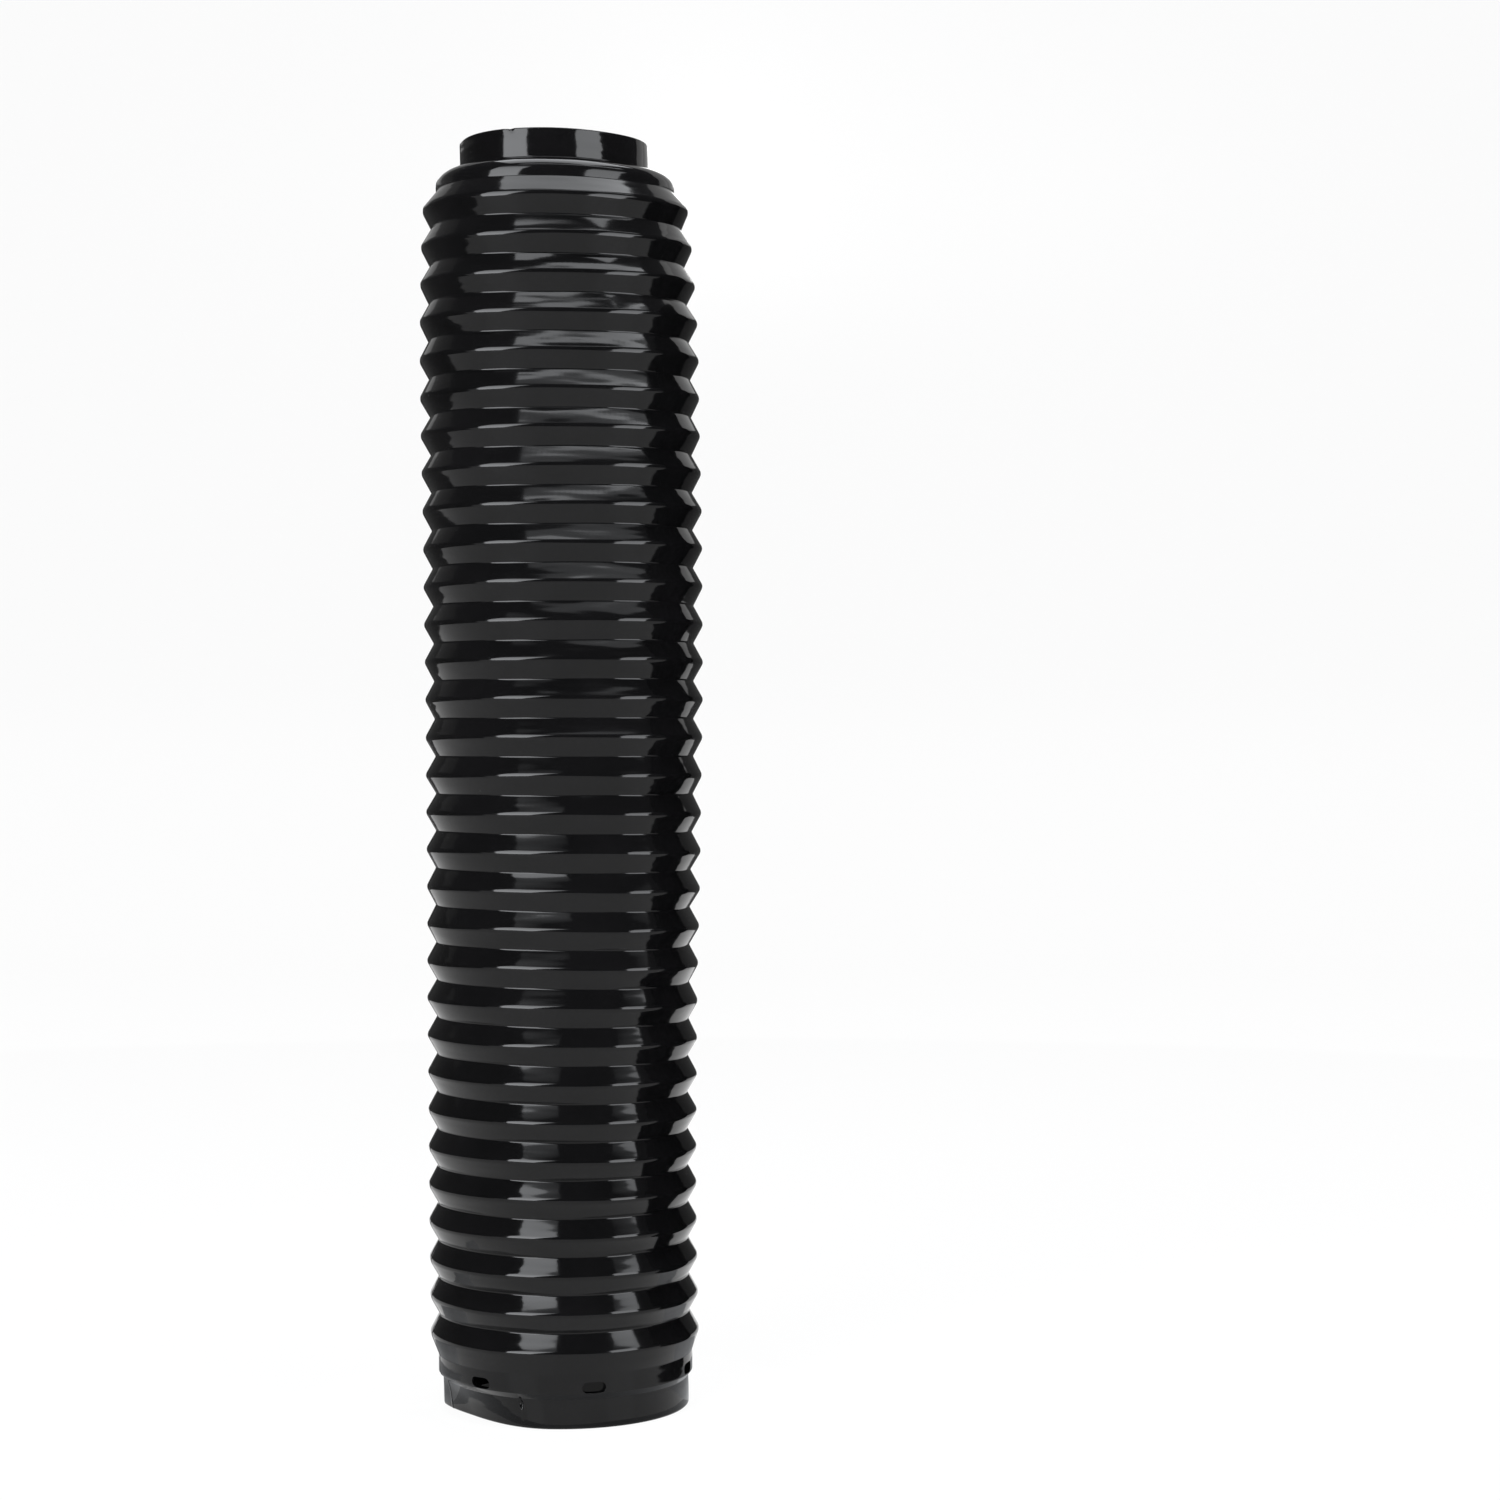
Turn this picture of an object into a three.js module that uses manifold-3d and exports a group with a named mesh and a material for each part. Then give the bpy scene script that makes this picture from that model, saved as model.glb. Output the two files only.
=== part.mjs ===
// Motorbike fork gaiter: one hollow rubber moulding that slips over a fork leg.
// Millimetres, +Z up. The origin is the centre of the lower rim, on the surface it stands on.
// The collar at the top grips the fork tube and the wide cuff at the bottom grips the slider.

import * as THREE from "three";
import { mergeVertices } from "three/addons/utils/BufferGeometryUtils.js";
import Module from "manifold-3d";

const wasm = await Module();
wasm.setup();

// Lower cuff, from the rim up: a plain band, a sloping step, a wider band with the vent slots
const LOWER_BAND_RADIUS = 29.6;
const LOWER_BAND_HEIGHT = 6.9;
const UPPER_BAND_RADIUS = 30.65;
const UPPER_BAND_HEIGHT = 4.6;
const STEP_HEIGHT = 1.4;
const CUFF_WALL = 2.0;

// Vent slots through the upper band, just above the step
const SLOT_COUNT = 6;
const SLOT_WIDTH = 5.7;
const SLOT_HEIGHT = 2.6;
const SLOT_LIFT = 0.15;
const SLOT_TURN = THREE.MathUtils.degToRad(16);
const SLOT_OVERRUN = 1.5;

// Bellows: ridges are the outer edges of the folds, troughs lie halfway between them
const FOLD_COUNT = 31;
const FOLD_PITCH = 9.01;
const FOLD_DEPTH = 2.25;
const RIDGE_LAND = 0.8;
const BELLOWS_WALL = 1.6;
const LOWER_RUN = 4.7;
const UPPER_RUN = 3.9;

// The folds settle under their own weight, the lower half a little more than the upper
const FOLD_SETTLE = 1.2;
const FOLD_SETTLE_SKEW = 0.3;

// Ridge radii: nearly straight at the bottom, fullest above the middle, drawn in at the top
const RIDGE_RADIUS_LOW = 32.35;
const RIDGE_RADIUS_FULL = 33.7;
const RIDGE_RADIUS_TOP = 32.1;
const SWELL_START = 0.14;
const SWELL_END = 0.7;
const DRAW_IN_FOLDS = 4;
const DRAW_IN_POWER = 1.5;

// Shoulder and upper collar
const LIP_RADIUS = 28.8;
const LIP_HEIGHT = 1.3;
const SHOULDER_RISE = 3.5;
const SHOULDER_STEPS = 5;
const COLLAR_RADIUS = 22.75;
const COLLAR_HEIGHT = 6.9;
const COLLAR_WALL = 2.0;

// Small round on the outer edge of the two rims
const RIM_ROUND = 0.4;
const RIM_ROUND_STEPS = 2;

// Facets round the outside and round the bore
const OUTER_SIDES = 32;
const INNER_SIDES = 24;
const SLOT_ROUND_STEPS = 2;

// The cavity runs out of both ends by this much
const END_OVERRUN = 5;

// Vertices closer than this are one vertex
const MERGE_DISTANCE = 1e-4;

// Heights of the cuff's edges above the lower rim
const stepBase = LOWER_BAND_HEIGHT;
const stepTop = stepBase + STEP_HEIGHT;
const upperBandTop = stepTop + UPPER_BAND_HEIGHT;

// Height of a ridge's middle, counting the folds from 0 at the bottom
const firstRidge = upperBandTop + LOWER_RUN + RIDGE_LAND / 2;
function ridgeHeight(fold) {
  const turn = Math.PI * (fold / (FOLD_COUNT - 1));
  const settled = FOLD_SETTLE * Math.sin(turn) + FOLD_SETTLE_SKEW * Math.sin(2 * turn);
  return firstRidge + FOLD_PITCH * fold - settled;
}

// Radius of a ridge
function ridgeRadius(fold) {
  const share = fold / (FOLD_COUNT - 1);
  const swell = THREE.MathUtils.smoothstep(share, SWELL_START, SWELL_END);
  const full = THREE.MathUtils.lerp(RIDGE_RADIUS_LOW, RIDGE_RADIUS_FULL, swell);
  const drawn = Math.max(0, 1 - (FOLD_COUNT - 1 - fold) / DRAW_IN_FOLDS);
  return full - (RIDGE_RADIUS_FULL - RIDGE_RADIUS_TOP) * drawn ** DRAW_IN_POWER;
}

// Heights above the bellows
const lastRidge = ridgeHeight(FOLD_COUNT - 1);
const lipBase = lastRidge + RIDGE_LAND / 2 + UPPER_RUN;
const lipTop = lipBase + LIP_HEIGHT;
const collarBase = lipTop + SHOULDER_RISE;
const collarTop = collarBase + COLLAR_HEIGHT;

// The wall is measured square to the flank of a fold, and is wider than that along the radius
const flankAngle = Math.atan2(FOLD_DEPTH, (FOLD_PITCH - RIDGE_LAND) / 2);
const bellowsWallAlongRadius = BELLOWS_WALL / Math.cos(flankAngle);

// A quarter of an ellipse, from its widest point up to its top, for the shoulder
function shoulderCurve(innerRadius, outerRadius, base, rise) {
  const curve = new THREE.EllipseCurve(innerRadius, base, outerRadius - innerRadius, rise, 0, Math.PI / 2);
  return curve.getPoints(SHOULDER_STEPS);
}

// The rounded outer edge of a rim: a quarter circle about the given centre height
function rimRound(radius, centreHeight, startAngle) {
  const centre = radius - RIM_ROUND;
  const end = startAngle + Math.PI / 2;
  const curve = new THREE.EllipseCurve(centre, centreHeight, RIM_ROUND, RIM_ROUND, startAngle, end);
  return curve.getPoints(RIM_ROUND_STEPS);
}

// Outside of the moulding, as radius and height, from the axis at the bottom to the axis at the top
function outerProfile() {
  const points = [new THREE.Vector2(0, 0)];
  points.push(...rimRound(LOWER_BAND_RADIUS, RIM_ROUND, -Math.PI / 2));
  points.push(new THREE.Vector2(LOWER_BAND_RADIUS, stepBase));
  points.push(new THREE.Vector2(UPPER_BAND_RADIUS, stepTop));
  points.push(new THREE.Vector2(UPPER_BAND_RADIUS, upperBandTop));
  for (let fold = 0; fold < FOLD_COUNT; fold += 1) {
    const radius = ridgeRadius(fold);
    const height = ridgeHeight(fold);
    points.push(new THREE.Vector2(radius, height - RIDGE_LAND / 2));
    points.push(new THREE.Vector2(radius, height + RIDGE_LAND / 2));
    if (fold < FOLD_COUNT - 1) points.push(troughPoint(fold, 0));
  }
  points.push(new THREE.Vector2(LIP_RADIUS, lipBase));
  points.push(...shoulderCurve(COLLAR_RADIUS, LIP_RADIUS, lipTop, SHOULDER_RISE));
  points.push(...rimRound(COLLAR_RADIUS, collarTop - RIM_ROUND, 0));
  points.push(new THREE.Vector2(0, collarTop));
  return points;
}

// The bottom of the trough above a fold, moved in by the given depth
function troughPoint(fold, inset) {
  const radius = (ridgeRadius(fold) + ridgeRadius(fold + 1)) / 2 - FOLD_DEPTH;
  const height = (ridgeHeight(fold) + ridgeHeight(fold + 1)) / 2;
  return new THREE.Vector2(radius - inset, height);
}

// Inside of the moulding: it follows the outside at the wall's distance and runs out of both ends
function innerProfile() {
  const mouthRadius = LOWER_BAND_RADIUS - CUFF_WALL;
  const bandRadius = UPPER_BAND_RADIUS - CUFF_WALL;
  const boreRadius = COLLAR_RADIUS - COLLAR_WALL;
  const points = [new THREE.Vector2(0, -END_OVERRUN), new THREE.Vector2(mouthRadius, -END_OVERRUN)];
  points.push(new THREE.Vector2(mouthRadius, stepBase));
  points.push(new THREE.Vector2(bandRadius, stepTop));
  points.push(new THREE.Vector2(bandRadius, upperBandTop));
  for (let fold = 0; fold < FOLD_COUNT; fold += 1) {
    points.push(new THREE.Vector2(ridgeRadius(fold) - bellowsWallAlongRadius, ridgeHeight(fold)));
    if (fold < FOLD_COUNT - 1) points.push(troughPoint(fold, bellowsWallAlongRadius));
  }
  const lipBoreRadius = LIP_RADIUS - COLLAR_WALL;
  points.push(...shoulderCurve(boreRadius, lipBoreRadius, lipTop - COLLAR_WALL, SHOULDER_RISE));
  points.push(new THREE.Vector2(boreRadius, collarTop + END_OVERRUN));
  points.push(new THREE.Vector2(0, collarTop + END_OVERRUN));
  return points;
}

// A closed three.js geometry as a solid that can be joined and cut
function toSolid(geometry) {
  const bare = geometry.clone();
  bare.deleteAttribute("normal");
  bare.deleteAttribute("uv");
  const merged = mergeVertices(bare, MERGE_DISTANCE);
  const vertProperties = new Float32Array(merged.attributes.position.array);
  const triVerts = new Uint32Array(merged.index.array);
  return new wasm.Manifold(new wasm.Mesh({ numProp: 3, vertProperties, triVerts }));
}

// The finished solid as a geometry to show
function toGeometry(solid) {
  const mesh = solid.getMesh();
  const geometry = new THREE.BufferGeometry();
  geometry.setAttribute("position", new THREE.BufferAttribute(mesh.vertProperties, 3));
  geometry.setIndex(new THREE.BufferAttribute(mesh.triVerts, 1));
  geometry.computeVertexNormals();
  return geometry;
}

// Spins a profile about the Z axis
function revolve(points, sides) {
  return new THREE.LatheGeometry(points, sides).rotateX(Math.PI / 2);
}

// The cavity's flats, not its corners, lie at the wall's distance, so that the bore stays clear
function cavity() {
  const widen = 1 / Math.cos(Math.PI / INNER_SIDES);
  const points = innerProfile().map((point) => new THREE.Vector2(point.x * widen, point.y));
  return toSolid(revolve(points, INNER_SIDES));
}

// One vent slot as a bar with rounded ends, lying along the radius at the front (-Y)
function slotCutter() {
  const half = SLOT_HEIGHT / 2;
  const straight = SLOT_WIDTH / 2 - half;
  const outline = new THREE.Shape();
  outline.absarc(straight, 0, half, -Math.PI / 2, Math.PI / 2, false);
  outline.absarc(-straight, 0, half, Math.PI / 2, (3 * Math.PI) / 2, false);
  outline.closePath();
  const inner = UPPER_BAND_RADIUS - CUFF_WALL - SLOT_OVERRUN;
  const depth = UPPER_BAND_RADIUS + SLOT_OVERRUN - inner;
  const options = { depth, bevelEnabled: false, curveSegments: SLOT_ROUND_STEPS };
  const bar = new THREE.ExtrudeGeometry(outline, options);
  bar.rotateX(Math.PI / 2);
  bar.translate(0, -inner, stepTop + SLOT_LIFT + half);
  return bar;
}

// The moulding: outside, less the cavity, less the ring of slots
function gaiterGeometry() {
  let solid = toSolid(revolve(outerProfile(), OUTER_SIDES)).subtract(cavity());
  for (let slot = 0; slot < SLOT_COUNT; slot += 1) {
    const angle = SLOT_TURN + (slot * 2 * Math.PI) / SLOT_COUNT;
    solid = solid.subtract(toSolid(slotCutter().rotateZ(angle)));
  }
  return toGeometry(solid);
}

const blackRubber = new THREE.MeshStandardMaterial({ color: 0x18181a, roughness: 0.22, metalness: 0 });

const gaiter = new THREE.Mesh(gaiterGeometry(), blackRubber);
gaiter.name = "fork_gaiter";

const model = new THREE.Group();
model.add(gaiter);

export default model;
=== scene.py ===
"""Looks of the fork gaiter: one glossy black rubber moulding, standing on a white studio floor.

Metres, +Z up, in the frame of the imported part. Azimuths are measured from the front (-Y) towards +X.
"""

import math

import bpy
import numpy as np
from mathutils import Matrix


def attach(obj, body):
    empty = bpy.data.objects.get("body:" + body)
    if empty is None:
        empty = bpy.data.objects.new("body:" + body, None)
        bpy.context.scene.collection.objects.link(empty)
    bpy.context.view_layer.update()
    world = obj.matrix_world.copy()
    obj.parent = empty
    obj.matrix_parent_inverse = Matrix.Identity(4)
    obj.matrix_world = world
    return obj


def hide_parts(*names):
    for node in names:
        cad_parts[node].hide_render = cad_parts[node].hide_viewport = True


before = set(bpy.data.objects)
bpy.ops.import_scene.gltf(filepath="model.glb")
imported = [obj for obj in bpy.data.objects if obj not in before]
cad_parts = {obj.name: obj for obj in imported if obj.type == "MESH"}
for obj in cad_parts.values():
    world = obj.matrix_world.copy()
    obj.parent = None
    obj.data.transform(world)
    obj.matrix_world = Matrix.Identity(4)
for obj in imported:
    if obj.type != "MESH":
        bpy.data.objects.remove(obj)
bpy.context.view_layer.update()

MM = 0.001
TINY = 1e-9

# Lower cuff: a plain band, a sloping step and a wider band with the vent slots
LOWER_BAND_RADIUS = 29.6 * MM
LOWER_BAND_HEIGHT = 6.9 * MM
UPPER_BAND_RADIUS = 30.65 * MM
UPPER_BAND_HEIGHT = 4.6 * MM
STEP_HEIGHT = 1.4 * MM
CUFF_WALL = 2.0 * MM

# Vent slots
SLOT_COUNT = 6
SLOT_WIDTH = 5.7 * MM
SLOT_HEIGHT = 2.6 * MM
SLOT_LIFT = 0.15 * MM
SLOT_TURN = math.radians(16)
SLOT_EDGE = 0.04 * MM

# Where the cuff is pressed flat, the slot over it has crept forward
CREPT_SLOT = 5
SLOT_CREEP = math.radians(5.2)

# Bellows
FOLD_COUNT = 31
FOLD_PITCH = 9.01 * MM
FOLD_DEPTH = 2.25 * MM
RIDGE_LAND = 0.8 * MM
BELLOWS_WALL = 1.6 * MM
LOWER_RUN = 4.7 * MM
UPPER_RUN = 3.7 * MM
FOLD_SETTLE = 1.2 * MM
FOLD_SETTLE_SKEW = 0.3 * MM

# Ridge radii
RIDGE_RADIUS_LOW = 32.35 * MM
RIDGE_RADIUS_FULL = 33.7 * MM
RIDGE_RADIUS_TOP = 32.1 * MM
SWELL_START = 0.14
SWELL_END = 0.7
DRAW_IN_FOLDS = 4
DRAW_IN_POWER = 1.5

# Shoulder and upper collar
LIP_RADIUS = 28.8 * MM
LIP_HEIGHT = 1.5 * MM
SHOULDER_RISE = 3.5 * MM
SHOULDER_STEPS = 8
COLLAR_RADIUS = 22.75 * MM
COLLAR_HEIGHT = 6.9 * MM
COLLAR_WALL = 2.0 * MM

# Fillets, from the lower rim up, and the ones inside
RIM_FILLET = 0.5 * MM
STEP_BASE_FILLET = 0.3 * MM
STEP_TOP_FILLET = 0.15 * MM
BAND_TOP_FILLET = 0.9 * MM
RIDGE_FILLET = 1.5 * MM
TROUGH_FILLET = 0.5 * MM
LIP_FILLET = 0.4 * MM
COLLAR_FOOT_FILLET = 0.45 * MM
COLLAR_RIM_FILLET = 0.35 * MM
INNER_FILLET = 0.3 * MM
INNER_STEP_FILLET = 0.05 * MM

# A fillet reaches along the sides of its corner by at most this share of the shorter one
FILLET_REACH = 0.48

# Steps of a fillet: most of them, ridges, the collar's foot and the cuff's step, then those inside
OUTER_STEPS = 3
RIDGE_STEPS = 5
COLLAR_FOOT_STEPS = 4
CUFF_STEP_STEPS = 2
INNER_STEPS = 2
INNER_EDGE_STEPS = 1

# Extra rows of the mesh, in mm: above the step, above and below the cuff's nick, below the top rim
BAND_ROWS = (0.08, 0.9, 1.45, 2.0, 2.75, 3.65)
NICK_ROWS = (-1.6, -1.0, -0.5, 0, 0.5)
COLLAR_ROWS = (1.6, 0.9)

# Columns of the mesh round the axis, with closer ones (degrees) where there is a seam or a nick
COLUMNS = 150
SEAM_COLUMNS = (-1.1, -0.5, -0.2, 0.2, 0.5, 1.1)
NICK_COLUMNS = (-2.1, -1.4, -0.7, 0, 0.7, 1.4, 2.1)
COLUMN_GAP = 0.01

# Half the width of the patch of mesh that holds a slot
SLOT_PATCH = math.radians(8.5)

# Mould seams: two fine raised lines, opposite each other
SEAM_AZIMUTHS = (math.radians(-76), math.radians(104))
SEAM_HEIGHT = 0.12 * MM
SEAM_HALF_WIDTH = 0.2 * MM

# Two nicks: azimuth, height, half width, half height, how far in and how far down the surface goes
CUFF_NICK = (math.radians(-18.1), 5.7 * MM, 0.45 * MM, 0.9 * MM, 0.6 * MM, 0.0)
RIM_NICK = (math.radians(-21.5), 304.1 * MM, 0.7 * MM, 0.5 * MM, 0.22 * MM, 0.15 * MM)

# How the standing moulding bends, at some heights (mm): sideways shift (mm), sideways and forward tilt
SIDE_SHIFT = (
    (0, 0), (18, -0.44), (40, -0.8), (116, -0.88), (152, -0.6), (188, -0.75), (243, -1.6), (280, -2.45),
    (304, -3.2),
)
SIDE_TILT = (
    (0, 0), (40, 0), (75, -0.012), (115, -0.013), (155, 0), (215, 0.008), (285, 0.008), (304, 0.011),
)
FORWARD_TILT = ((0, 0), (150, 0), (215, 0.014), (270, 0.036), (286, 0.034), (297, 0.012), (304, 0))

# The soft wall is not quite round: how far it is oval, and three-sided, at some heights (all in mm)
OVAL = (
    (0, 0), (12, 0.1), (30, 0.6), (88, 0.8), (116, 1.5), (152, 0.6), (188, -0.4), (234, -1.4), (270, -1.7),
    (290, -2.1), (304, -2.0),
)
THREE_SIDED = (
    (0, 0), (30, 0), (88, -0.3), (116, -1.5), (152, -0.8), (188, -0.9), (234, -1.2), (275, -1.0),
    (290, -0.3), (304, 0.1),
)

# The front is out of round nearly to the two sides, and this power sets how near
ROUND_SIDES_POWER = 6

# Small waves of the wall: size (mm), waves in a full turn, turn per mm of height, and start
OUTWARD_WAVES = ((0.05, 3, 0.83, 0), (0.035, 5, -0.61, 1))
UPWARD_WAVES = ((0.05, 2, 0.71, 2), (0.03, 6, -0.9, 0))

# The waves grow over the first height (mm) from the lower rim, and fade over the last one to their end
WAVES_GROW = 20
WAVES_END = 295
WAVES_FADE = 10

# The cuff is pressed flat at its left front, between these azimuths
FLAT_START = math.radians(-85)
FLAT_DEEPEST = math.radians(-58)
FLAT_END = math.radians(-5)
FLAT_POWER = 1.6
FLAT_DEPTH = 3.25 * MM
FLAT_TOP = 9.0 * MM
FLAT_SLIDE = math.radians(4.4)
FLAT_SLIDE_TOP = 18.0 * MM

# Small step along the surface that finds its bent normals, and the slope where its helper axis changes
NORMAL_STEP = 2e-6
STEEP_NORMAL = 0.7

# Heights worked out from these sizes, the way the CAD part does it
step_base = LOWER_BAND_HEIGHT
step_top = step_base + STEP_HEIGHT
upper_band_top = step_top + UPPER_BAND_HEIGHT
first_ridge = upper_band_top + LOWER_RUN + RIDGE_LAND / 2
flank_angle = math.atan2(FOLD_DEPTH, (FOLD_PITCH - RIDGE_LAND) / 2)
ridge_apex = RIDGE_LAND / 2 * math.tan(flank_angle)
wall_along_radius = BELLOWS_WALL / math.cos(flank_angle)


def ridge_height(fold):
    """Height of a ridge's middle, counting the folds from 0 at the bottom."""
    turn = math.pi * fold / (FOLD_COUNT - 1)
    settled = FOLD_SETTLE * math.sin(turn) + FOLD_SETTLE_SKEW * math.sin(2 * turn)
    return first_ridge + FOLD_PITCH * fold - settled


def ridge_radius(fold):
    """Radius of a ridge: straight at the bottom, fullest above the middle, drawn in at the top."""
    share = fold / (FOLD_COUNT - 1)
    swell = min(1.0, max(0.0, (share - SWELL_START) / (SWELL_END - SWELL_START)))
    swell = swell * swell * (3 - 2 * swell)
    full = RIDGE_RADIUS_LOW + (RIDGE_RADIUS_FULL - RIDGE_RADIUS_LOW) * swell
    drawn = max(0.0, 1 - (FOLD_COUNT - 1 - fold) / DRAW_IN_FOLDS)
    return full - (RIDGE_RADIUS_FULL - RIDGE_RADIUS_TOP) * drawn**DRAW_IN_POWER


lip_base = ridge_height(FOLD_COUNT - 1) + RIDGE_LAND / 2 + UPPER_RUN
lip_top = lip_base + LIP_HEIGHT
collar_base = lip_top + SHOULDER_RISE
collar_top = collar_base + COLLAR_HEIGHT

# Rows of the upper band that the slots' patches hang on
band_rows = [step_top + rise * MM for rise in BAND_ROWS]


def trough(fold):
    """Radius and height of the sharp corner that the trough above a fold is rounded from."""
    radius = (ridge_radius(fold) + ridge_radius(fold + 1)) / 2 - FOLD_DEPTH
    return radius, (ridge_height(fold) + ridge_height(fold + 1)) / 2


def plain_rows(radius, heights):
    """Corners without a fillet."""
    return [(radius, height, 0, 0) for height in heights]


def shoulder(inner, outer, base):
    """Points of a quarter ellipse from its widest place up to its top, both ends left out."""
    corners = []
    for step in range(1, SHOULDER_STEPS):
        turn = math.pi / 2 * step / SHOULDER_STEPS
        radius = inner + (outer - inner) * math.cos(turn)
        corners += plain_rows(radius, [base + SHOULDER_RISE * math.sin(turn)])
    return corners


def outer_corners():
    """Outside of the wall from the lower rim up: radius, height, fillet and steps of the fillet."""
    corners = [(LOWER_BAND_RADIUS, 0, RIM_FILLET, OUTER_STEPS)]
    corners += plain_rows(LOWER_BAND_RADIUS, [CUFF_NICK[1] + rise * MM for rise in NICK_ROWS])
    corners.append((LOWER_BAND_RADIUS, step_base, STEP_BASE_FILLET, CUFF_STEP_STEPS))
    corners.append((UPPER_BAND_RADIUS, step_top, STEP_TOP_FILLET, CUFF_STEP_STEPS))
    corners += plain_rows(UPPER_BAND_RADIUS, band_rows)
    corners.append((UPPER_BAND_RADIUS, upper_band_top, BAND_TOP_FILLET, OUTER_STEPS))
    for fold in range(FOLD_COUNT):
        ridge = ridge_radius(fold) + ridge_apex
        corners.append((ridge, ridge_height(fold), RIDGE_FILLET, RIDGE_STEPS))
        if fold < FOLD_COUNT - 1:
            corners.append((*trough(fold), TROUGH_FILLET, OUTER_STEPS))
    corners.append((LIP_RADIUS, lip_base, LIP_FILLET, OUTER_STEPS))
    corners += plain_rows(LIP_RADIUS, [lip_top])
    corners += shoulder(COLLAR_RADIUS, LIP_RADIUS, lip_top)
    corners.append((COLLAR_RADIUS, collar_base, COLLAR_FOOT_FILLET, COLLAR_FOOT_STEPS))
    corners += plain_rows(COLLAR_RADIUS, [collar_top - drop * MM for drop in COLLAR_ROWS])
    corners.append((COLLAR_RADIUS, collar_top, COLLAR_RIM_FILLET, OUTER_STEPS))
    return corners


def inner_corners():
    """Inside of the wall from the collar down to the lower rim."""
    bore = COLLAR_RADIUS - COLLAR_WALL
    mouth = LOWER_BAND_RADIUS - CUFF_WALL
    band = UPPER_BAND_RADIUS - CUFF_WALL
    shoulder_base = lip_top - COLLAR_WALL
    corners = [(bore, collar_top, INNER_FILLET, INNER_STEPS)]
    corners.append((bore, shoulder_base + SHOULDER_RISE, INNER_FILLET, INNER_STEPS))
    corners += shoulder(bore, LIP_RADIUS - COLLAR_WALL, shoulder_base)[::-2]
    for fold in reversed(range(FOLD_COUNT)):
        if fold < FOLD_COUNT - 1:
            radius, height = trough(fold)
            fillet = TROUGH_FILLET + BELLOWS_WALL
            corners.append((radius - wall_along_radius, height, fillet, INNER_STEPS))
        ridge = ridge_radius(fold) + ridge_apex
        corners.append((ridge - wall_along_radius, ridge_height(fold), INNER_FILLET, INNER_EDGE_STEPS))
    corners.append((band, upper_band_top, INNER_FILLET, INNER_EDGE_STEPS))
    corners += plain_rows(band, reversed(band_rows))
    corners.append((band, step_top, INNER_STEP_FILLET, INNER_EDGE_STEPS))
    corners.append((mouth, step_base, INNER_FILLET, INNER_EDGE_STEPS))
    corners.append((mouth, 0, INNER_FILLET, INNER_STEPS))
    return corners


def turn_between(azimuth, middle):
    """Signed turn from the middle azimuth, between minus and plus half a turn."""
    return (azimuth - middle + math.pi) % (2 * math.pi) - math.pi


def rounded_profile(corners):
    """Rounds the corners of a closed outline: returns its points and its normals as radius and height."""
    places = np.array([corner[:2] for corner in corners])
    points, normals = [], []
    for index, (_, _, fillet, steps) in enumerate(corners):
        before = places[index] - places[index - 1]
        after = places[(index + 1) % len(places)] - places[index]
        start = math.atan2(before[1], before[0])
        turn = turn_between(math.atan2(after[1], after[0]), start)
        if fillet == 0:
            middle = start + turn / 2
            points.append(places[index])
            normals.append((math.sin(middle), -math.cos(middle)))
            continue
        room = FILLET_REACH * min(np.hypot(*before), np.hypot(*after))
        reach = min(fillet * math.tan(abs(turn) / 2), room)
        radius = reach / math.tan(abs(turn) / 2) * math.copysign(1, turn)
        centre = places[index] - before / np.hypot(*before) * reach
        centre = centre + radius * np.array((-math.sin(start), math.cos(start)))
        for step in range(steps + 1):
            heading = start + turn * step / steps
            normal = np.array((math.sin(heading), -math.cos(heading)))
            points.append(centre + radius * normal)
            normals.append(normal)
    return np.array(points), np.array(normals)


def column_azimuths():
    """Evenly spaced columns, with closer ones at the seams and the nicks."""
    kept = np.arange(COLUMNS) * (2 * math.pi / COLUMNS) - math.pi
    close = [azimuth + np.radians(SEAM_COLUMNS) for azimuth in SEAM_AZIMUTHS]
    close += [nick[0] + np.radians(NICK_COLUMNS) for nick in (CUFF_NICK, RIM_NICK)]
    for group in close:
        kept = kept[(kept < group[0] - COLUMN_GAP) | (kept > group[-1] + COLUMN_GAP)]
    return np.sort(np.concatenate([kept, *close]))


def on_axis(radius, azimuth, height):
    """Points or directions from their part along the radius, their azimuth and their height."""
    return np.stack([radius * np.sin(azimuth), -radius * np.cos(azimuth), height], axis=-1)


def spin(section, azimuths):
    """Repeats each (radius, height) row at every azimuth."""
    radius, height = (np.repeat(section[:, axis], len(azimuths)) for axis in (0, 1))
    return on_axis(radius, np.tile(azimuths, len(section)), height)


def slot_reach(across, up):
    """Distance from a slot's middle to its outline in the given direction."""
    end = SLOT_HEIGHT / 2
    straight = SLOT_WIDTH / 2 - end
    flat = end / max(abs(up), TINY)
    if flat * abs(across) <= straight:
        return flat
    along = straight * abs(across)
    return along + math.sqrt(along * along - straight * straight + end * end)


def slot_section():
    """The slot's wall from face to face, over its two rounded edges.

    A row is how far outside the outline it lies, how deep in the wall, how much its normal follows the
    radius, and whether that is outwards (1) or inwards (-1).
    """
    edge = []
    for square in (1.0, 0.5, 0.0):
        outset = SLOT_EDGE * (1 - math.sqrt(1 - square * square))
        edge.append((outset, SLOT_EDGE * (1 - square), square))
    section = [(outset, depth, square, 1) for outset, depth, square in edge]
    section += [(outset, CUFF_WALL - depth, square, -1) for outset, depth, square in reversed(edge)]
    return section


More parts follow.
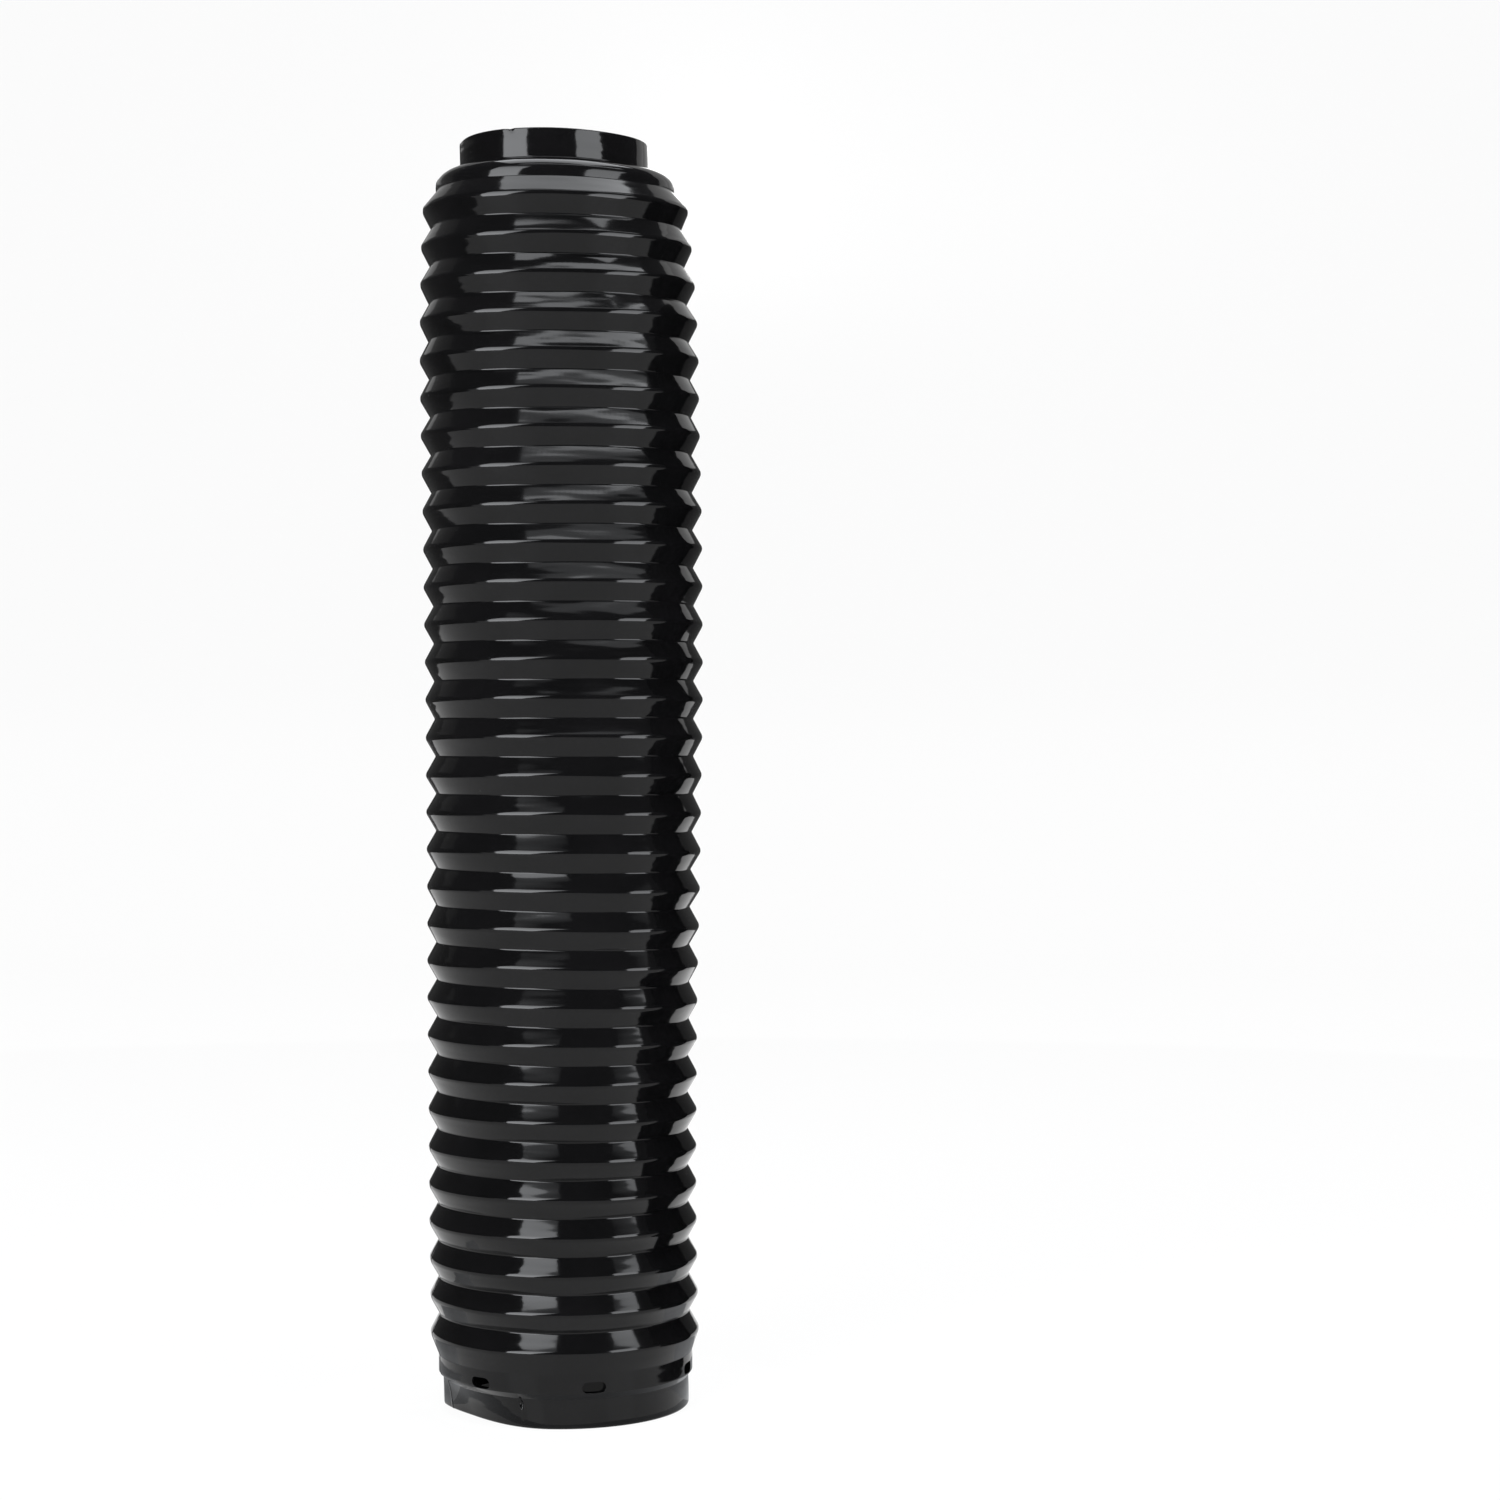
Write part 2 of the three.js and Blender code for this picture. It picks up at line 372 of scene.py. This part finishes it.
def slot_loops(loop_azimuths, loop_heights, middle):
    """Loops of points and normals from the band's face, over the slot's edge and through the wall."""
    middle_height = step_top + SLOT_LIFT + SLOT_HEIGHT / 2
    across = (loop_azimuths - middle) * UPPER_BAND_RADIUS
    up = loop_heights - middle_height
    away = np.hypot(across, up)
    across, up = across / away, up / away
    reach = np.array([slot_reach(a, u) for a, u in zip(across, up)])
    loops = []
    for outset, depth, square, side in slot_section():
        radius = np.full(len(across), UPPER_BAND_RADIUS - depth)
        azimuth = middle + across * (reach + outset) / UPPER_BAND_RADIUS
        points = on_axis(radius, azimuth, middle_height + up * (reach + outset))
        inward = math.sqrt(1 - square * square)
        normals = on_axis(np.full(len(across), square * side), azimuth, -up * inward)
        normals -= on_axis(across * inward, azimuth + math.pi / 2, np.zeros(len(up)))
        loops.append((points, normals))
    return loops


def curve_through(pairs, heights):
    """Smooth curve through (height in mm, value) pairs."""
    levels = np.array([pair[0] for pair in pairs]) * MM
    values = np.array([pair[1] for pair in pairs], float)
    slopes = np.gradient(values, levels)
    index = np.clip(np.searchsorted(levels, heights) - 1, 0, len(levels) - 2)
    span = levels[index + 1] - levels[index]
    t = np.clip((heights - levels[index]) / span, 0, 1)
    start = (1 + 2 * t) * (1 - t) ** 2 * values[index] + t * (1 - t) ** 2 * span * slopes[index]
    return start + t * t * (3 - 2 * t) * values[index + 1] - t * t * (1 - t) * span * slopes[index + 1]


def push_in(radius, azimuth, height, nick):
    """A nick: how far the surface moves in and down."""
    middle, level, half_width, half_height, inward, downward = nick
    across = turn_between(azimuth, middle) * radius / half_width
    up = (height - level) / half_height
    share = np.exp(-(across**2) - up**2 - across * up)
    return inward * share, downward * share


def waves(kinds, azimuth, rise):
    """Sum of some kinds of wave that run round the wall and up it."""
    return sum(size * np.sin(count * azimuth + pace * rise + start) for size, count, pace, start in kinds)


def uneven(azimuth, height):
    """Small waves that a soft moulding has from fold to fold, outwards and upwards."""
    rise = height / MM
    share = np.clip(rise / WAVES_GROW, 0, 1) * np.clip((WAVES_END - rise) / WAVES_FADE, 0, 1)
    outward = waves(OUTWARD_WAVES, azimuth, rise) * share * MM
    upward = waves(UPWARD_WAVES, azimuth, rise) * share * MM
    return outward, upward


def out_of_round(radius, azimuth, height):
    """How far the front of the wall lies outside a true circle; the two sides and the back stay round."""
    oval = curve_through(OVAL, height) * np.sin(2 * azimuth)
    three_sided = curve_through(THREE_SIDED, height) * np.cos(3 * azimuth)
    front = np.where(np.cos(azimuth) > 0, 1 - np.sin(azimuth) ** ROUND_SIDES_POWER, 0)
    return (oval + three_sided) * front * MM * radius / RIDGE_RADIUS_FULL


def pressed_share(azimuth):
    """How much of the flat's full depth an azimuth has."""
    left = np.clip((azimuth - FLAT_START) / (FLAT_DEEPEST - FLAT_START), 0, 1)
    right = np.clip((FLAT_END - azimuth) / (FLAT_END - FLAT_DEEPEST), 0, 1)
    return np.sin(math.pi / 2 * left) * np.sin(math.pi / 2 * right) ** FLAT_POWER


def bend(points):
    """Moves points of the straight round moulding to where the standing soft one has them."""
    radius = np.hypot(points[:, 0], points[:, 1])
    azimuth = np.arctan2(points[:, 0], -points[:, 1])
    height = points[:, 2]
    pressed = pressed_share(azimuth)
    low = np.clip(1 - height / FLAT_TOP, 0, 1)
    slide_low = np.clip(1 - height / FLAT_SLIDE_TOP, 0, 1)
    moved_in = FLAT_DEPTH * pressed * low * (2 - low)
    moved_down = 0.0
    for nick in (CUFF_NICK, RIM_NICK):
        inward, downward = push_in(radius, azimuth, height, nick)
        moved_in = moved_in + inward
        moved_down = moved_down + downward
    for seam in SEAM_AZIMUTHS:
        across = turn_between(azimuth, seam) * radius / SEAM_HALF_WIDTH
        moved_in = moved_in - SEAM_HEIGHT * np.exp(-(across**2))
    outward, upward = uneven(azimuth, height)
    outward = outward + out_of_round(radius, azimuth, height)
    turned = azimuth + FLAT_SLIDE * pressed * slide_low
    moved = on_axis(radius - moved_in + outward, turned, height - moved_down + upward)
    moved[:, 2] += curve_through(SIDE_TILT, height) * moved[:, 0]
    moved[:, 2] += curve_through(FORWARD_TILT, height) * moved[:, 1]
    moved[:, 0] += curve_through(SIDE_SHIFT, height) * MM
    return moved


def bent_normals(points, normals):
    """Normals of the bent surface, from two small steps along the straight one."""
    helper = np.where(np.abs(normals[:, 2:]) < STEEP_NORMAL, (0.0, 0.0, 1.0), (1.0, 0.0, 0.0))
    first = np.cross(helper, normals)
    first /= np.linalg.norm(first, axis=1)[:, None]
    second = np.cross(normals, first)
    along_first = bend(points + first * NORMAL_STEP) - bend(points - first * NORMAL_STEP)
    along_second = bend(points + second * NORMAL_STEP) - bend(points - second * NORMAL_STEP)
    bent = np.cross(along_first, along_second)
    return bent / np.linalg.norm(bent, axis=1)[:, None]


def rows_at(levels, profile, faces_right_way):
    """Row of the profile at each level, among those that face the right way."""
    rows = []
    for level in levels:
        is_there = np.abs(profile[:, 1] - level) < TINY
        rows.append(int(np.nonzero(is_there & faces_right_way)[0][0]))
    return rows


def patch_columns(azimuths, middle):
    """Columns of the patch round a slot, from left to right."""
    offset = turn_between(azimuths, middle)
    inside = np.nonzero(np.abs(offset) < SLOT_PATCH)[0]
    order = inside[np.argsort(offset[inside])]
    return [int(column) % len(azimuths) for column in (order[0] - 1, *order, order[-1] + 1)]


def patch_border(patch):
    """Level and column of each point round a patch, once round from its lower left corner."""
    top = len(band_rows) - 1
    border = [(0, column) for column in patch[:-1]]
    border += [(level, patch[-1]) for level in range(top)]
    border += [(top, column) for column in reversed(patch[1:])]
    border += [(level, patch[0]) for level in range(top, 0, -1)]
    return border


def faces_between(near, far):
    """Faces between two closed loops that have as many points."""
    count = len(near)
    return [(near[k], near[(k + 1) % count], far[(k + 1) % count], far[k]) for k in range(count)]


def grid_faces(is_open):
    """Faces of the closed grid of rows and columns, less the cells that are open."""
    rows, columns = is_open.shape
    faces = []
    for row in range(rows):
        start, above = row * columns, (row + 1) % rows * columns
        for column in range(columns):
            beside = (column + 1) % columns
            if not is_open[row, column]:
                faces.append((start + column, start + beside, above + beside, above + column))
    return faces


def gaiter_mesh():
    """Points, normals and faces of the whole moulding, before it is bent."""
    profile, profile_normals = rounded_profile(outer_corners() + inner_corners())
    azimuths = column_azimuths()
    rows, columns = len(profile), len(azimuths)
    points = [spin(profile, azimuths)]
    normals = [spin(profile_normals, azimuths)]
    outer_rows = rows_at(band_rows, profile, profile_normals[:, 0] > 0)
    inner_rows = rows_at(band_rows, profile, profile_normals[:, 0] < 0)
    is_open = np.zeros((rows, columns), bool)
    faces = []
    count = rows * columns
    for slot in range(SLOT_COUNT):
        creep = SLOT_CREEP if slot == CREPT_SLOT else 0
        middle = turn_between(SLOT_TURN + slot * 2 * math.pi / SLOT_COUNT + creep, 0)
        patch = patch_columns(azimuths, middle)
        is_open[outer_rows[0]:outer_rows[-1], patch[:-1]] = True
        is_open[inner_rows[-1]:inner_rows[0], patch[:-1]] = True
        border = patch_border(patch)
        border_azimuths = middle + turn_between(azimuths[[column for _, column in border]], middle)
        border_heights = np.array([band_rows[level] for level, _ in border])
        loops = [[outer_rows[level] * columns + column for level, column in border]]
        for loop_points, loop_normals in slot_loops(border_azimuths, border_heights, middle):
            points.append(loop_points)
            normals.append(loop_normals)
            loops.append(list(range(count, count + len(border))))
            count += len(border)
        loops.append([inner_rows[level] * columns + column for level, column in border])
        for near, far in zip(loops, loops[1:]):
            faces += faces_between(near, far)
    return np.concatenate(points), np.concatenate(normals), faces + grid_faces(is_open)


def new_object(name, points, faces, material, smooth=False):
    """A mesh object with its material, in the scene."""
    mesh = bpy.data.meshes.new(name)
    mesh.from_pydata([tuple(point) for point in points], [], faces)
    mesh.validate()
    mesh.polygons.foreach_set("use_smooth", [smooth] * len(mesh.polygons))
    mesh.materials.append(material)
    made = bpy.data.objects.new(name, mesh)
    bpy.context.scene.collection.objects.link(made)
    return made


def build_gaiter():
    """The moulding, as it stands."""
    points, normals, faces = gaiter_mesh()
    made = new_object("gaiter", bend(points), faces, rubber_material(), smooth=True)
    made.data.normals_split_custom_set_from_vertices(bent_normals(points, normals).tolist())
    return made


def grey(level):
    """A neutral colour."""
    return (level, level, level, 1)


class Shading:
    """A new material, with short ways to add nodes to it."""

    def __init__(self, name):
        self.material = bpy.data.materials.new(name)
        self.material.use_nodes = True
        self.tree = self.material.node_tree
        self.tree.nodes.clear()

    def add(self, kind, inputs=(), **settings):
        """Adds a node and returns its outputs. An input is a value, or another node's output."""
        node = self.tree.nodes.new("ShaderNode" + kind)
        for name, setting in settings.items():
            setattr(node, name, setting)
        for name, value in dict(inputs).items():
            if isinstance(value, bpy.types.NodeSocket):
                self.tree.links.new(value, node.inputs[name])
            else:
                node.inputs[name].default_value = value
        return node.outputs

    def noise(self, place, scale, detail):
        """Noise from 0 to 1."""
        return self.add("TexNoise", {"Vector": place, "Scale": scale, "Detail": detail})["Fac"]

    def ramp(self, value, stops):
        """Colour that follows a value, from two stops of (value, colour)."""
        colours = self.add("ValToRGB", {"Fac": value})["Color"]
        for element, (position, colour) in zip(colours.node.color_ramp.elements, stops):
            element.position = position
            element.color = colour
        return colours

    def mix(self, share, first, second, blend):
        """Two colours mixed by a share."""
        inputs = {"Factor": share, "A": first, "B": second}
        return self.add("Mix", inputs, data_type="RGBA", blend_type=blend)["Result"]

    def finish(self, surface):
        """Makes this the material's surface, and returns the material."""
        self.add("OutputMaterial", {"Surface": surface})
        return self.material


# Rubber: its refraction, and its noises as scale and detail
RUBBER_IOR = 1.32
TONE_NOISE = (60, 3)
GLOSS_NOISE = (22, 4)
DUST_NOISE = (35, 2)
WAVE_NOISE = (60, 1)
GRAIN_NOISE = (2600, 2)

# Its tone, its roughness, the dust's specks by distance and the places where dust lies
TONE_STOPS = ((0.35, (0.0019, 0.0019, 0.002, 1)), (0.7, (0.003, 0.0029, 0.0031, 1)))
GLOSS_STOPS = ((0.3, grey(0.06)), (0.75, grey(0.11)))
SPECK_STOPS = ((0.03, grey(1)), (0.07, grey(0)))
DUST_STOPS = ((0.62, grey(0)), (0.7, grey(1)))
SPECK_SCALE = 260
DUST_COLOUR = (0.03, 0.03, 0.028, 1)

# Its waves, which run round it, and its fine grain
WAVE_STRETCH = (1, 1, 6)
WAVE_STRENGTH = 1
WAVE_DEPTH = 0.11 * MM
GRAIN_STRENGTH = 0.2
GRAIN_DEPTH = 0.004 * MM


def rubber_material():
    """Black rubber straight from a polished mould: glossy, faintly wavy, with fine dust."""
    shading = Shading("black_rubber")
    place = shading.add("TexCoord")["Object"]
    stretched = shading.add("Mapping", {"Vector": place, "Scale": WAVE_STRETCH})["Vector"]

    distance = shading.add("TexVoronoi", {"Vector": place, "Scale": SPECK_SCALE})["Distance"]
    specks = shading.ramp(distance, SPECK_STOPS)
    dusty = shading.ramp(shading.noise(place, *DUST_NOISE), DUST_STOPS)
    dust = shading.mix(1, specks, dusty, "MULTIPLY")
    tone = shading.ramp(shading.noise(place, *TONE_NOISE), TONE_STOPS)

    wavy = {"Strength": WAVE_STRENGTH, "Distance": WAVE_DEPTH}
    wavy["Height"] = shading.noise(stretched, *WAVE_NOISE)
    grain = {"Strength": GRAIN_STRENGTH, "Distance": GRAIN_DEPTH}
    grain["Height"] = shading.noise(place, *GRAIN_NOISE)
    grain["Normal"] = shading.add("Bump", wavy)["Normal"]

    rubber = {"IOR": RUBBER_IOR}
    rubber["Base Color"] = shading.mix(dust, tone, DUST_COLOUR, "MIX")
    rubber["Roughness"] = shading.ramp(shading.noise(place, *GLOSS_NOISE), GLOSS_STOPS)
    rubber["Normal"] = shading.add("Bump", grain)["Normal"]
    return shading.finish(shading.add("BsdfPrincipled", rubber)["BSDF"])


# Floor that sweeps up to a back wall: size, glow, colours for other light and for shadow, and polish
FLOOR_HALF_WIDTH = 4.0
FLOOR_FRONT = -4.0
SWEEP_START = 1.4
SWEEP_RADIUS = 0.7
SWEEP_STEPS = 16
BACK_WALL_TOP = 3.0
FLOOR_GLOW = 0.94
FLOOR_COLOUR = 0.8
FLOOR_SHADOWED = 0.05
FLOOR_POLISH = 0.02
FLOOR_ROUGHNESS = 0.25

# Painted shade inside the cuff: a dark disc on the floor whose faint glow stands in for the cuff's shadow
INNER_FLOOR_RADIUS = 0.0274
INNER_FLOOR_HEIGHT = 0.0003
INNER_FLOOR_SIDES = 96
INNER_FLOOR_PAINTED_SHADE = 0.015

# Light panels beside the camera: height, azimuths of the left and right end, and strength, level by level
SIDE_PANEL_DISTANCE = 0.9
LEFT_PANEL = (
    (0.02, -48, -26, 13.5),
    (0.48, -49, -16, 10.5),
    (0.955, -44, -8, 6.8),
    (0.965, -44, -8, 1.6),
    (1.25, -44, -5, 0.3),
)
RIGHT_PANEL = (
    (0.02, 41, 65, 8.5),
    (0.48, 42, 68, 7.3),
    (0.78, 52, 81, 4.6),
    (0.8, 52, 81, 0.9),
    (1.0, 54, 83, 0.2),
)
PANEL_COLOUR = (0.95, 0.97, 1.0, 1)

# Light panel overhead
OVERHEAD_HEIGHT = 1.2
OVERHEAD_LEFT = -0.31
OVERHEAD_RIGHT = 0.5
OVERHEAD_FRONT = -0.2
OVERHEAD_BACK = 0.55
OVERHEAD_STRENGTH = 5.0

# Curved strips overhead, which the upper flanks of the top folds mirror from end to end
ARC_CENTRE = (-0.01, 0.28)
ARC_ENDS = (-17, 77)
ARC_STEPS = 24
ARC_NEAR = 0.743
ARC_MIDDLE = 0.815
ARC_FAR = 0.93
ARC_STRENGTH = 6.5
ARC_DIM_STRENGTH = 1.5

WORLD_COLOUR = (0.1, 0.1, 0.105, 1)

# Room round the table: the table's edges, the round wall, and the heights of its dark and grey parts
TABLE_LEFT = 0.39
TABLE_BACK = 0.6
TABLE_LEAST_SHARE = 0.01
ROOM_WALL = 0.9
ROOM_FLOOR = 0.002
ROOM_DARK_TOP = 0.48
ROOM_GREY_TOP = 1.2
ROOM_STEPS = 48
ROOM_DARK_ENDS = (95, 300)
ROOM_DARK_GLOW = 0.08

# Parts of the wall above the dark: name, azimuths of the two ends and glow
ROOM_PARTS = (
    ("room_grey_right", 139, 172, 0.65),
    ("room_window", 172, 188, 2.6),
    ("room_grey_back", 188, 216, 0.45),
    ("room_grey_left", 216, 250, 0.17),
)

# Floor that the moulding shades: near and far edge, height, and the glow at some azimuths
BACK_SHADE_EDGES = (0.03, 0.066)
BACK_SHADE_HEIGHT = 0.0005
BACK_SHADE_GLOW = (
    (90, FLOOR_GLOW), (105, 0.72), (120, 0.52), (150, 0.36), (180, 0.33), (210, 0.34), (240, 0.38),
    (262, 0.5), (280, FLOOR_GLOW),
)
FRONT_SHADE_EDGES = (0.0298, 0.0335)
FRONT_SHADE_HEIGHT = 0.0004
FRONT_SHADE_GLOW = [(azimuth, 0.6) for azimuth in range(-80, 91, 5)]

# Round dark post on the right
POST_RADIUS = 0.031
POST_CENTRE = (0.089, 0.011)
POST_BASE = 0.001
POST_TOP = 0.3
POST_SIDES = 32
POST_COLOUR = 0.01

# Level camera in front
CAMERA_PLACE = (0.0444, -0.705, 0.158)
CAMERA_LENS = 69.75
CAMERA_SENSOR = 36


def around(turn, reach, height, centre=(0, 0)):
    """Point at an azimuth, at a distance from a centre."""
    return centre[0] + reach * math.sin(turn), centre[1] - reach * math.cos(turn), height


def turns_between(start, end, steps):
    """Evenly spaced azimuths in radians, from one in degrees to another."""
    return [math.radians(start + (end - start) * step / steps) for step in range(steps + 1)]


def strip_faces(rows):
    """Faces of a strip that has two points in each row."""
    return [(2 * k, 2 * k + 1, 2 * k + 3, 2 * k + 2) for k in range(rows - 1)]


def only_reflected(thing):
    """Hides a thing from everything but reflections."""
    thing.visible_camera = False
    thing.visible_diffuse = False
    thing.visible_shadow = False


def floor_material():
    """White to the camera and in reflections, an ordinary pale surface to the rest of the light."""
    shading = Shading("studio_white")
    rays = shading.add("LightPath")
    seen = rays["Is Camera Ray"]
    for name in ("Is Glossy Ray", "Is Transmission Ray"):
        seen = shading.add("Math", {0: seen, 1: rays[name]}, operation="MAXIMUM")["Value"]
    plain = shading.add("BsdfDiffuse", {"Color": grey(FLOOR_COLOUR)})["BSDF"]
    glow = shading.add("Emission", {"Strength": FLOOR_GLOW})["Emission"]
    shadowed = shading.add("BsdfDiffuse", {"Color": grey(FLOOR_SHADOWED)})["BSDF"]
    polish = {"Color": grey(FLOOR_POLISH), "Roughness": FLOOR_ROUGHNESS}
    polished = shading.add("BsdfGlossy", polish)["BSDF"]
    lit = shading.add("AddShader", {0: shadowed, 1: polished})["Shader"]
    white = shading.add("AddShader", {0: glow, 1: lit})["Shader"]
    return shading.finish(shading.add("MixShader", {"Fac": seen, 1: plain, 2: white})["Shader"])


def glowing(name, strength):
    """A surface that glows evenly and reflects nothing."""
    shading = Shading(name)
    return shading.finish(shading.add("Emission", {"Strength": strength})["Emission"])


def panel_material(name):
    """Light whose strength is written in the second UV coordinate."""
    shading = Shading(name)
    place = shading.add("UVMap", uv_map="UVMap")["UV"]
    strength = shading.add("SeparateXYZ", {"Vector": place})["Y"]
    glow = {"Color": PANEL_COLOUR, "Strength": strength}
    return shading.finish(shading.add("Emission", glow)["Emission"])


def build_backdrop():
    """A floor with a rounded sweep up to a back wall."""
    outline = [(FLOOR_FRONT, 0.0), (SWEEP_START, 0.0)]
    for step in range(1, SWEEP_STEPS + 1):
        turn = math.pi / 2 * step / SWEEP_STEPS
        outline.append((SWEEP_START + SWEEP_RADIUS * math.sin(turn), SWEEP_RADIUS * (1 - math.cos(turn))))
    outline.append((SWEEP_START + SWEEP_RADIUS, BACK_WALL_TOP))
    points = [(side * FLOOR_HALF_WIDTH, y, z) for y, z in outline for side in (-1, 1)]
    floor = new_object("floor", points, strip_faces(len(outline)), floor_material(), smooth=True)


def build_inner_floor():
    """Painted shade: a faintly glowing dark disc over the floor inside the cuff, where the light does not
    reach.
    """
    turns = np.arange(INNER_FLOOR_SIDES) * (2 * math.pi / INNER_FLOOR_SIDES) - math.pi
    radius = np.full(INNER_FLOOR_SIDES, INNER_FLOOR_RADIUS)
    height = np.full(INNER_FLOOR_SIDES, INNER_FLOOR_HEIGHT)
    points = bend(on_axis(radius, turns, height))
    face = tuple(range(INNER_FLOOR_SIDES))
    # Painted shade: the disc glows faintly dark in place of the shadow inside the cuff
    disc = new_object("inner_floor_painted_shade", points, [face], glowing("inner_floor_painted_shade", INNER_FLOOR_PAINTED_SHADE))


def build_panel(name, rows):
    """Light panel hidden from the camera, from rows of (one end, other end, strength)."""
    points = [point for start, end, _ in rows for point in (start, end)]
    panel = new_object(name, points, strip_faces(len(rows)), panel_material(name))
    layer = panel.data.uv_layers.new(name="UVMap")
    for loop, place in zip(panel.data.loops, layer.data):
        row, side = divmod(loop.vertex_index, 2)
        place.uv = (side, rows[row][2])
    panel.visible_camera = False
    panel.visible_shadow = False
    return panel


def side_panel(name, levels):
    """Panel beside the camera."""
    rows = []
    for height, start, end, strength in levels:
        left, right = (around(math.radians(turn), SIDE_PANEL_DISTANCE, height) for turn in (start, end))
        rows.append((left, right, strength))
    build_panel(name, rows)


def arc_panel(name, near, far, strength):
    """Curved strip overhead, between two distances from its centre."""
    rows = []
    for turn in turns_between(*ARC_ENDS, ARC_STEPS):
        inside, outside = (around(turn, reach, OVERHEAD_HEIGHT, ARC_CENTRE) for reach in (near, far))
        rows.append((inside, outside, strength))
    build_panel(name, rows)


def overhead_panel():
    """Flat panel overhead."""
    rows = []
    for y in (OVERHEAD_FRONT, OVERHEAD_BACK):
        left, right = ((x, y, OVERHEAD_HEIGHT) for x in (OVERHEAD_LEFT, OVERHEAD_RIGHT))
        rows.append((left, right, OVERHEAD_STRENGTH))
    build_panel("panel_overhead", rows)


def build_lights():
    """Every light panel, and the faint light of the world around."""
    side_panel("panel_left", LEFT_PANEL)
    side_panel("panel_right", RIGHT_PANEL)
    overhead_panel()
    arc_panel("panel_arc", ARC_NEAR, ARC_MIDDLE, ARC_STRENGTH)
    arc_panel("panel_arc_dim", ARC_MIDDLE, ARC_FAR, ARC_DIM_STRENGTH)
    world = bpy.data.worlds.new("studio")
    world.use_nodes = True
    world.node_tree.nodes["Background"].inputs["Color"].default_value = WORLD_COLOUR
    bpy.context.scene.world = world


def table_edge(turn):
    """Distance to the table's left or back edge."""
    across = max(abs(math.sin(turn)), TABLE_LEAST_SHARE)
    along = max(abs(math.cos(turn)), TABLE_LEAST_SHARE)
    return min(TABLE_LEFT / across, TABLE_BACK / along)


def wall_face(turn):
    """Distance to the wall, which is the same all round."""
    return ROOM_WALL


def room_part(name, start, end, outline, glow):
    """Part of the room between two azimuths, from rows of (distance at an azimuth, height)."""
    turns = turns_between(start, end, ROOM_STEPS)
    points = [around(turn, reach(turn), height) for reach, height in outline for turn in turns]
    faces = []
    for row in range(len(outline) - 1):
        for column in range(ROOM_STEPS):
            corner = row * len(turns) + column
            faces.append((corner, corner + 1, corner + 1 + len(turns), corner + len(turns)))
    room = new_object(name, points, faces, glowing(name, glow))
    only_reflected(room)


def build_surroundings():
    """The room round the table, seen only in reflections: dark, with grey walls and a window above."""
    dark = ((table_edge, ROOM_FLOOR), (wall_face, ROOM_FLOOR), (wall_face, ROOM_DARK_TOP))
    above = ((wall_face, ROOM_DARK_TOP), (wall_face, ROOM_GREY_TOP))
    room_part("room_dark", *ROOM_DARK_ENDS, dark, ROOM_DARK_GLOW)
    for name, start, end, glow in ROOM_PARTS:
        room_part(name, start, end, above, glow)


def floor_shade(name, edges, height, levels):
    """A dimmer ring of floor beside the cuff, seen only in reflections."""
    rows = []
    for azimuth, strength in levels:
        near, far = (around(math.radians(azimuth), reach, height) for reach in edges)
        rows.append((near, far, strength))
    only_reflected(build_panel(name, rows))


def build_floor_shades():
    """The moulding shades the floor beside and behind it, and a narrow strip along its front."""
    floor_shade("floor_shade_back", BACK_SHADE_EDGES, BACK_SHADE_HEIGHT, BACK_SHADE_GLOW)
    floor_shade("floor_shade_front", FRONT_SHADE_EDGES, FRONT_SHADE_HEIGHT, FRONT_SHADE_GLOW)


def build_flag():
    """Round dark post on the right, seen only in reflections."""
    turns = [2 * math.pi * side / POST_SIDES for side in range(POST_SIDES)]
    points = [around(turn, POST_RADIUS, z, POST_CENTRE) for z in (POST_BASE, POST_TOP) for turn in turns]
    faces = faces_between(range(POST_SIDES), range(POST_SIDES, 2 * POST_SIDES))
    shading = Shading("flag_black")
    black = shading.finish(shading.add("BsdfDiffuse", {"Color": grey(POST_COLOUR)})["BSDF"])
    flag = new_object("flag", points, faces, black)
    only_reflected(flag)


def build_camera():
    """Level camera that looks along +Y."""
    data = bpy.data.cameras.new("camera")
    data.sensor_width = CAMERA_SENSOR
    data.lens = CAMERA_LENS
    camera = bpy.data.objects.new("camera", data)
    camera.location = CAMERA_PLACE
    camera.rotation_euler = (math.pi / 2, 0, 0)
    bpy.context.scene.collection.objects.link(camera)
    bpy.context.scene.camera = camera


gaiter = build_gaiter()
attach(gaiter, "root")
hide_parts("fork_gaiter")

build_backdrop()
build_inner_floor()
build_lights()
build_surroundings()
build_floor_shades()
build_flag()
build_camera()
bpy.context.scene.view_settings.view_transform = "Standard"
